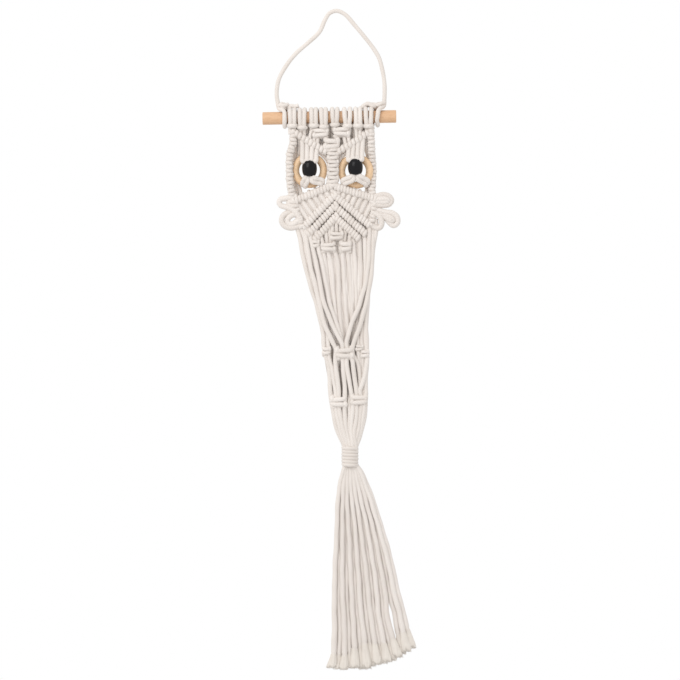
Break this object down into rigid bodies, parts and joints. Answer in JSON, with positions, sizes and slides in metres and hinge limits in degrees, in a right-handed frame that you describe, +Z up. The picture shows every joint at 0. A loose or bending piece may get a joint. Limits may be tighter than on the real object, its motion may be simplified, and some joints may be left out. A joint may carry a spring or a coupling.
{
  "type": "macrame wall hanging with wooden dowel",
  "caption": "Macrame owl wall hanging of cotton cord on a wooden dowel, with ring and bead eyes, a chevron breast, looped wings, and a long tail gathered by a wrap above a fringe.",
  "frame": {"origin": "inside of the top of the hanging loop, where a nail or hook carries it", "axes": "+X along the dowel to the viewer's right, +Y from the viewer towards the wall, +Z up"},
  "size_m": [0.1449, 0.0244, 0.6609],
  "materials": {
    "cotton": "matt off-white braided cotton cord",
    "birch": "sanded, unvarnished",
    "maple": "sanded smooth, light wax",
    "black_bead": "glossy black"
  },
  "bodies": {
    "root": {"dowel": "birch", "hanging_cord": "cotton", "hanger_knot_left": "cotton", "hanger_knot_right": "cotton", "eye_ring_left": "maple", "eye_ring_right": "maple", "eye_bead_left": "black_bead", "eye_bead_right": "black_bead", "macrame_panel": "cotton", "wrap_and_fringe": "cotton"}
  },
  "joints": []
}
